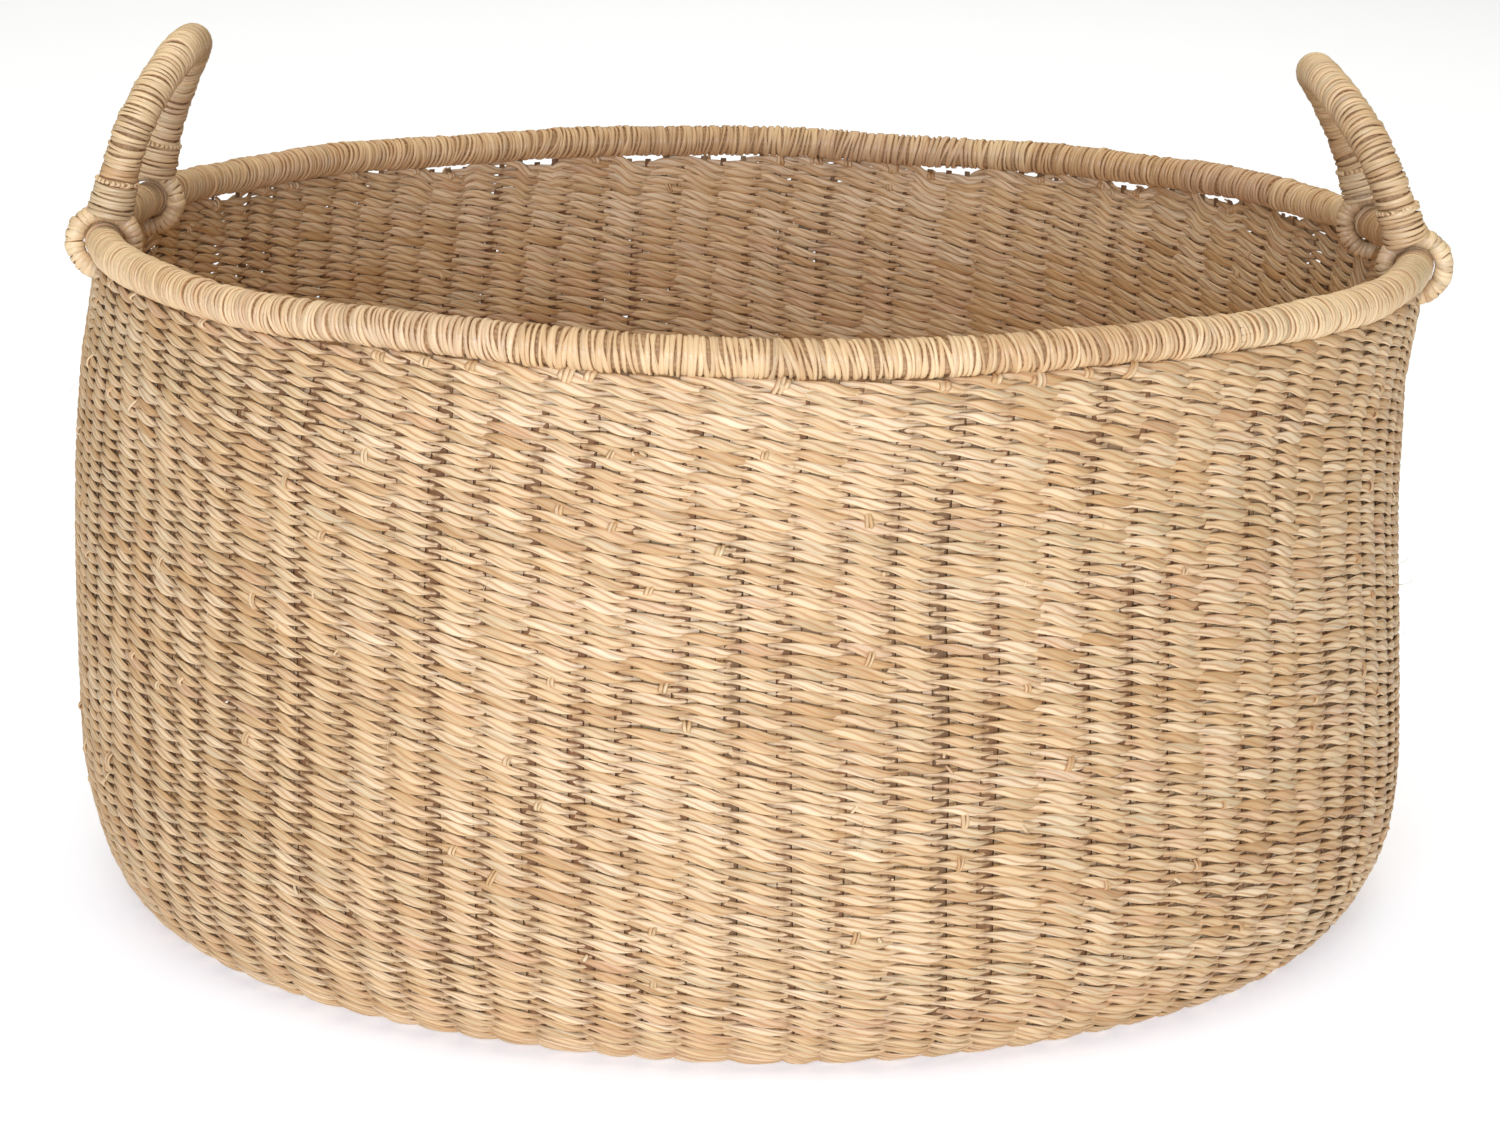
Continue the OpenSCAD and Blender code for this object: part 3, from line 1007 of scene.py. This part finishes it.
def make_handle(side, seed):
    """A handle's core and wrap, and the cuff, tie and ring at each of its feet."""
    body = f"{side}_handle"
    origin, x_axis, y_axis, z_axis = handle_frame(side)

    def place(local):
        return origin + local @ np.stack([x_axis, y_axis, z_axis])

    def add(piece, node):
        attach(piece, body)
        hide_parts(node)

    path = place(arch_points())
    core = bundle(f"{side}_handle_core_bundle", path, x_axis, False, HANDLE_R - CORE_LESS, 12, seed)
    add(core, f"{side}_handle_core")
    wrap = wrap_loops(
        f"{side}_handle_wrap_strips", path, x_axis, False, HANDLE_R, seed + 1, HANDLE_STRIPS
    )
    add(wrap, f"{side}_handle_wrap")
    for i, (foot, y) in enumerate((("front", -FOOT_Y), ("rear", FOOT_Y))):
        label = f"{side}_{foot}"
        number = seed + 10 * (i + 1)
        height = np.linspace(CUFF_BOTTOM + 1 * MM, CUFF_TOP - 0.8 * MM, 24)
        leg = place(np.stack([curl(height), 0 * height + y, height], -1))
        cuff = wrap_loops(f"{label}_cuff_strips", leg, x_axis, False, cuff_radius, number, CUFF_STRIPS)
        add(cuff, f"{label}_cuff")
        tie_height = CUFF_TOP + 0.6 * TIE_R
        tie_centre = place(np.array([curl(tie_height), y, tie_height]))
        tie_path = ring_path(tie_centre, HANDLE_R + 0.35 * TIE_R, x_axis, y_axis, 48)
        tie = wrap_loops(f"{label}_tie_cord", tie_path, z_axis, True, TIE_R, number + 1, TIE_STRIPS)
        add(tie, f"{label}_tie")
        centre = place(np.array([0, y, 0]))
        ring = ring_path(centre, RING_RADIUS, x_axis, z_axis, 72)
        outward = unit(ring - centre)
        core = bundle(
            f"{label}_ring_core_bundle", ring, outward, True, RING_R - RING_CORE_LESS, 8, number + 2
        )
        add(core, f"{label}_ring_core")
        wrap = wrap_loops(
            f"{label}_ring_wrap_strips", ring, outward, True, RING_R + RING_SNUG, number + 3, RING_STRIPS
        )
        add(wrap, f"{label}_ring_wrap")


# ---------------------------------------------------------- stage and light
FLOOR_HALF = 40.0
FLOOR_Z = -0.8 * MM


def make_stage():
    """The white floor, wide enough that a view from 10 degrees up doesn't show its edge."""
    mesh = bpy.data.meshes.new("floor")
    corners = ((-1, -1), (1, -1), (1, 1), (-1, 1))
    mesh.from_pydata([(FLOOR_HALF * x, FLOOR_HALF * y, 0) for x, y in corners], [], [(0, 1, 2, 3)])
    floor = bpy.data.objects.new("floor", mesh)
    bpy.context.scene.collection.objects.link(floor)
    floor.location.z = FLOOR_Z
    material = bpy.data.materials.new("floor_white")
    material.use_nodes = True
    shader = material.node_tree.nodes["Principled BSDF"]
    shader.inputs["Base Color"].default_value = (0.90, 0.925, 0.97, 1)
    shader.inputs["Roughness"].default_value = 0.9
    shader.inputs["Emission Color"].default_value = (0.94, 0.99, 1.05, 1)
    shader.inputs["Emission Strength"].default_value = 0.38
    mesh.materials.append(material)


def area_light(name, place, aim, size, power, colour):
    """A soft rectangular light, aimed at a point."""
    data = bpy.data.lights.new(name, "AREA")
    data.shape = "RECTANGLE"
    data.size, data.size_y = size
    data.energy = power
    data.color = colour
    lamp = bpy.data.objects.new(name, data)
    bpy.context.scene.collection.objects.link(lamp)
    lamp.location = place
    lamp.rotation_euler = (Vector(aim) - Vector(place)).to_track_quat("-Z", "Y").to_euler()


def make_light():
    """A dim warm world and the soft lights of the photo."""
    world = bpy.data.worlds.new("studio")
    world.use_nodes = True
    world.node_tree.nodes["Background"].inputs["Color"].default_value = (1, 0.90, 0.72, 1)
    world.node_tree.nodes["Background"].inputs["Strength"].default_value = 0.06
    bpy.context.scene.world = world
    bpy.context.scene.view_settings.view_transform = "Standard"
    area_light("key", (-0.2, -3.2, 0.9), (0, 0, 0.15), (2.0, 1.0), 66, (1, 1.10, 1.42))
    area_light("top", (0.0, 1.8, 3.6), (0, 1.8, 0), (5.0, 9.8), 222, (1, 0.95, 0.845))


make_weave()
make_hub()
make_loose_ends()
make_stakes()
make_rim()
make_handle("left", 300)
make_handle("right", 400)
make_stage()
make_light()
